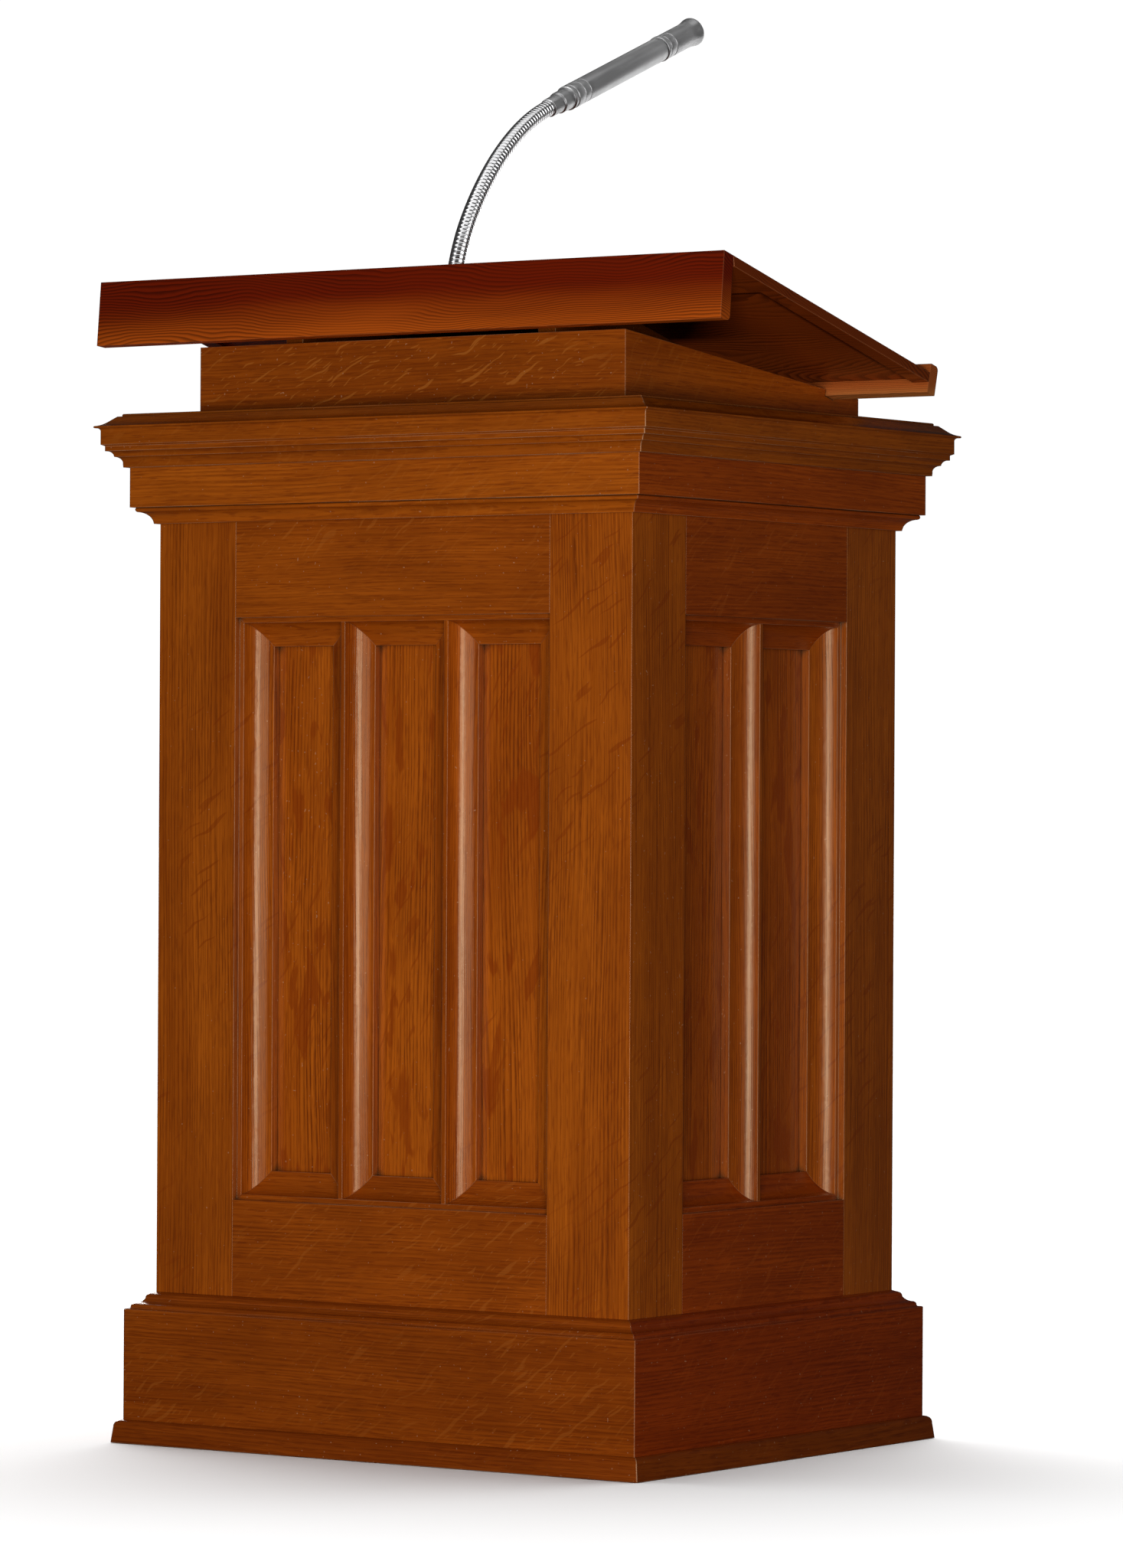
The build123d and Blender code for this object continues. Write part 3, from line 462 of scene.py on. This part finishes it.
def metal(name, colour, roughness, scratch, seed, shade_in_corners=0.5):
    """metal with fine scratches, smudges and painted shade in its corners and grooves"""
    look = Look(name)
    place = look.add("TexCoord").outputs["Object"]
    smudge = look.noise(place, scale=55.0 + seed, detail=4.0, rough=0.65)
    speck = look.noise(place, scale=1400.0, detail=1.0)
    lines = look.noise(place, scale=620.0, detail=3.0, rough=0.7, warp=0.3)
    tint = look.mix(look.span(smudge, 0.40, 0.72, 0.0, 0.30), shade(colour), shade(colour, 0.85))
    tint = look.mix(look.span(speck, 0.70, 0.78, 0.0, 0.15), tint, shade(colour, 1.2))
    # painted shade: the metal darkens in its corners and in the neck's grooves
    tint = look.mix(look.times(crevice(look, METAL_CREVICE), shade_in_corners), tint, shade(METAL_CORNER_SHADE))
    rough = look.span(smudge, 0.30, 0.70, roughness * 0.93, roughness * 1.08)
    normal = look.bump(lines, SCRATCH_DEPTH, scratch)
    return look.surface(Base_Color=tint, Roughness=rough, Normal=normal, Metallic=1.0)


# ---- flexible neck ----------------------------------------------------------
NECK_R = 8.15 * MM
LINK_LENGTH = 61 * MM       # along the centreline
LAST_BEND = math.radians(14.5)
DESK_SLOPE = math.radians(14.1)
RIB_PITCH = 4.3 * MM
RIB_DEPTH = 1.0 * MM
RIB_FULLNESS = (2.3, 0.8)   # how steep and how round the wound strip's back is
ROUND = 40
STEPS_PER_RIB = 10


def neck_line():
    """each joint's place, and the neck's tilt there"""
    places = [Vector(j["pos_m"]) for j in frame["joints"]]
    tilts = [DESK_SLOPE]
    for near, far in zip(places, places[1:]):
        chord = math.atan2(far.y - near.y, far.z - near.z)
        tilts.append(2 * chord - tilts[-1])
    return places, tilts


def bent(places, tilts, k, share):
    """place and tilt at a share of link k's length"""
    turn = tilts[k + 1] - tilts[k] if k + 1 < len(tilts) else LAST_BEND
    radius = LINK_LENGTH / turn
    tilt = tilts[k] + turn * share
    y = places[k].y + radius * (math.cos(tilts[k]) - math.cos(tilt))
    z = places[k].z + radius * (math.sin(tilt) - math.sin(tilts[k]))
    return Vector((0, y, z)), tilt


def new_mesh(name, verts, faces):
    mesh = bpy.data.meshes.new(name)
    mesh.from_pydata(verts, [], faces)
    mesh.update()
    for polygon in mesh.polygons:
        polygon.use_smooth = True
    made = bpy.data.objects.new(name, mesh)
    bpy.context.scene.collection.objects.link(made)
    return made


def ring_faces(rows, sides):
    """the faces between rings of points, each ring with the same number of sides"""
    faces = []
    for row in range(rows):
        for n in range(sides):
            a, b = row * sides + n, row * sides + (n + 1) % sides
            faces.append((a, b, b + sides, a + sides))
    return faces


def rib(turns):
    """the wound strip's rounded back, 0 in the groove and 1 on the crown"""
    steep, power = RIB_FULLNESS
    return min(1.0, steep * math.sin(math.pi * (turns % 1.0)) ** power)


def ribbed_tube(name, places, tilts, first, last):
    """a stretch of the spiral-wound neck, from a share of one link to a share of another"""
    rows = max(2, int((last - first) * LINK_LENGTH / RIB_PITCH * STEPS_PER_RIB))
    verts = []
    for row in range(rows + 1):
        at = first + (last - first) * row / rows
        k = min(int(at), len(places) - 1)
        centre, tilt = bent(places, tilts, k, at - k)
        side, outward = Vector((1, 0, 0)), Vector((0, math.cos(tilt), -math.sin(tilt)))
        for n in range(ROUND):
            angle = 2 * math.pi * n / ROUND
            turns = at * LINK_LENGTH / RIB_PITCH - n / ROUND
            radius = NECK_R - RIB_DEPTH * (1.0 - rib(turns))
            verts.append(centre + radius * (side * math.cos(angle) + outward * math.sin(angle)))
    return new_mesh(name, verts, ring_faces(rows, ROUND))


def flexible_neck():
    """one piece for each bend, from the middle of one link to the middle of the next"""
    places, tilts = neck_line()
    chrome = metal("neck_chrome", CHROME, 0.22, 0.5, 3, shade_in_corners=0.95)
    pieces = []
    for k in range(4):
        first = 0.0 if k == 0 else k - 0.5
        last = 4.0 if k == 3 else k + 0.5
        piece = ribbed_tube(f"neck_winding_{k + 1}", places, tilts, first, last)
        dress(piece, chrome)
        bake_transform(piece)
        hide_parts(f"neck_link_{k + 1}")
        pieces.append(piece)
    return pieces


# ---- microphone: turned pieces ----------------------------------------------
# profiles as (distance along the axis, radius), in millimetres
COLLAR = (
    (0, 0.5), (0, 9.3), (14.6, 9.6), (16.6, 9.6), (17.4, 10.6), (18.6, 10.95), (31.0, 10.95),
    (34.2, 11.3), (34.8, 12.55), (37.4, 12.55), (38.0, 11.9), (40.4, 11.9), (41.0, 12.55),
    (52.2, 12.55), (52.2, 0.5),
)
BARREL = (
    (52.2, 0.5), (52.2, 12.0), (53.0, 12.45), (62.0, 12.45), (62.3, 12.2), (62.9, 12.2),
    (63.2, 12.45), (212.0, 12.45), (212.6, 12.0), (212.6, 0.5),
)
HEAD = (
    (212.6, 0.5), (212.6, 12.9), (213.3, 13.3), (217.0, 13.3), (217.6, 12.6), (219.2, 12.6),
    (219.8, 12.9), (228.0, 12.9), (228.5, 12.5), (229.5, 12.5), (230.0, 12.9), (262.0, 12.9),
    (268.0, 13.2), (273.0, 14.0), (277.2, 14.75), (279.2, 14.75), (279.6, 14.3), (279.6, 12.2),
    (278.9, 11.7), (275.0, 11.6), (275.0, 0.5),
)
EASED = 0.35                # the radius of a turned corner, in millimetres
SIDES = 72


def turned(name, origin, direction, profile):
    """a piece turned round its axis"""
    side = Vector((1, 0, 0))
    over = direction.cross(side)
    verts = []
    for distance, radius in profile:
        for n in range(SIDES):
            angle = 2 * math.pi * n / SIDES
            spoke = side * math.cos(angle) + over * math.sin(angle)
            verts.append(origin + direction * distance * MM + spoke * radius * MM)
    rows = len(profile) - 1
    near_end = tuple(range(SIDES - 1, -1, -1))
    far_end = tuple(range(rows * SIDES, rows * SIDES + SIDES))
    made = new_mesh(name, verts, ring_faces(rows, SIDES) + [near_end, far_end])
    for cap in made.data.polygons[-2:]:
        cap.use_smooth = False
    return made


def rounded(points, radius):
    """a profile with each corner eased by a small arc, as (distance, radius) points"""
    out = [points[0]]
    for before, corner, after in zip(points, points[1:], points[2:]):
        a, c, b = Vector(before), Vector(corner), Vector(after)
        reach = min(radius, (a - c).length * 0.45, (b - c).length * 0.45)
        start, end = c + (a - c).normalized() * reach, c + (b - c).normalized() * reach
        for share in (0.0, 0.33, 0.67, 1.0):
            p = start.lerp(c, share).lerp(c.lerp(end, share), share)
            out.append((p.x, p.y))
    out.append(points[-1])
    return out


def microphone():
    places, tilts = neck_line()
    origin, tilt = bent(places, tilts, 3, 1.0)
    direction = Vector((0, math.sin(tilt), math.cos(tilt)))
    satin = metal("satin_grey", SATIN, 0.42, 0.8, 11, shade_in_corners=0.75)
    pieces = []
    for name, profile in (("collar", COLLAR), ("barrel", BARREL), ("head", HEAD)):
        piece = turned(f"turned_{name}", origin, direction, rounded(profile, EASED))
        dress(piece, satin)
        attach(piece, "microphone")
        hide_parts(f"microphone_{name}")
        pieces.append(piece)
    flange, screws = NODES["microphone_flange"], NODES["microphone_flange_screws"]
    dress(flange, metal("flange_chrome", FLANGE_CHROME, 0.24, 0.5, 5))
    dress(screws, metal("screw_steel", STEEL, 0.35, 0.8, 8))
    return pieces + [flange, screws]


# ---- studio -----------------------------------------------------------------
KEY_AZIMUTH = 36.8          # degrees from the front, towards the right
# name: azimuth, distance, height, width, tallness, watts, the height it looks at
BODY_LIGHTS = {
    "key": (KEY_AZIMUTH, 4.0, 0.50, 1.4, 1.0, 66.0, 0.5),
    "fill": (7.0, 4.0, 0.60, 2.4, 1.0, 26.0, 0.6),
    "behind": (239.0, 4.0, 1.7, 1.2, 1.4, 165.0, 0.6),
}
BOARD_LIGHTS = {
    "level": (KEY_AZIMUTH, 5.0, 1.07, 1.2, 0.10, 260.0, 1.07),
    "above": (214.0, 2.6, 3.2, 2.0, 2.0, 40.0, 1.1),
}
METAL_LIGHTS = {
    "glint_left": (-14.0, 3.0, 1.5, 1.3, 2.6, 56.0, 1.3),
    "glint_right": (84.0, 3.0, 1.5, 2.2, 2.6, 44.0, 1.3),
    "glint_top": (30.0, 0.6, 3.6, 3.0, 3.0, 30.0, 1.3),
    "glint_back": (186.0, 3.4, 2.2, 3.4, 3.4, 62.0, 1.3),
    "glint_low": (180.0, 3.0, 0.25, 3.4, 0.5, 12.0, 1.3),
}
SUN_STRENGTH = 5.6
SUN_ANGLE = math.radians(104)
SUN_LEAN = 0.85             # how far the sun leans from upright, as a slope
FLOOR_REACH = 60.0
FLOOR_DROP = 0.4 * MM
PAPER = (0.9, 0.9, 0.9)
DIM_PAPER = (0.02, 0.02, 0.02)
WORLD_SEEN = 1.05
WORLD_AMBIENT = 0.03


def around(azimuth, distance, height):
    a = math.radians(azimuth)
    return Vector((math.sin(a) * distance, -math.cos(a) * distance, height))


def group(name, things, state="INCLUDE"):
    """a collection that a light's linking reads"""
    made = bpy.data.collections.new(name)
    for thing in things:
        made.objects.link(thing)
    for item in made.collection_objects:
        item.light_linking.link_state = state
    return made


def hang(data, direction, receivers):
    """a light that shines against direction, on its receivers alone"""
    made = bpy.data.objects.new(data.name, data)
    made.rotation_mode = "QUATERNION"
    made.rotation_quaternion = direction.to_track_quat("Z", "Y")
    bpy.context.scene.collection.objects.link(made)
    made.light_linking.receiver_collection = receivers
    return made


def hang_all(lights, receivers):
    for name, (azimuth, distance, height, width, tall, watts, target) in lights.items():
        data = bpy.data.lights.new(name, "AREA")
        data.shape = "RECTANGLE"
        data.size = width
        data.size_y = tall
        data.energy = watts
        place = around(azimuth, distance, height)
        made = hang(data, place - Vector((0, 0, target)), receivers)
        made.location = place
        made.visible_camera = False


def paper_floor():
    """a pale floor that is white to the camera, and throws next to no light back"""
    r = FLOOR_REACH
    floor = new_mesh("floor", [(-r, -r, 0), (r, -r, 0), (r, r, 0), (-r, r, 0)], [(0, 1, 2, 3)])
    floor.location.z = -FLOOR_DROP
    look = Look("floor_paper")
    tooth = look.noise(look.add("TexCoord").outputs["Object"], scale=260.0, detail=3.0)
    seen = look.add("LightPath").outputs["Is Camera Ray"]
    normal = look.bump(tooth, 0.1 * MM, 0.3)
    paper = look.add("BsdfDiffuse", {"Color": shade(PAPER), "Normal": normal})
    dim = look.add("BsdfDiffuse", {"Color": shade(DIM_PAPER)})
    both = look.add("MixShader", {0: seen, 1: dim.outputs[0], 2: paper.outputs[0]})
    look.add("OutputMaterial", {"Surface": both.outputs[0]})
    dress(floor, look.material)
    return floor


def white_world():
    """white to the camera, and a faint light to everything else"""
    world = bpy.data.worlds.new("world")
    bpy.context.scene.world = world
    world.use_nodes = True
    tree = world.node_tree
    path = tree.nodes.new("ShaderNodeLightPath")
    ground = tree.nodes["Background"]
    ground.inputs["Color"].default_value = (1.0, 1.0, 1.0, 1.0)
    strength = tree.nodes.new("ShaderNodeMapRange")
    strength.inputs["To Min"].default_value = WORLD_AMBIENT
    strength.inputs["To Max"].default_value = WORLD_SEEN
    tree.links.new(path.outputs["Is Camera Ray"], strength.inputs["Value"])
    tree.links.new(strength.outputs["Result"], ground.inputs["Strength"])


def studio(metals):
    """soft light; the wood, the desk board, the metal and the floor each have lights of their own"""
    floor = paper_floor()
    board = NODES["desk_board"]
    sun = bpy.data.lights.new("floor_light", "SUN")
    sun.energy = SUN_STRENGTH
    sun.angle = SUN_ANGLE
    hang(sun, around(KEY_AZIMUTH, -SUN_LEAN, 1.0), group("only_floor", [floor]))
    hang_all(BODY_LIGHTS, group("body", [floor, board] + metals, "EXCLUDE"))
    hang_all(BOARD_LIGHTS, group("only_board", [board]))
    hang_all(METAL_LIGHTS, group("only_metal", metals))
    white_world()


camera()
paint_wood()
paint_desk()
studio(flexible_neck() + microphone())

view = bpy.context.scene.view_settings
view.view_transform = "Standard"
view.look = "None"
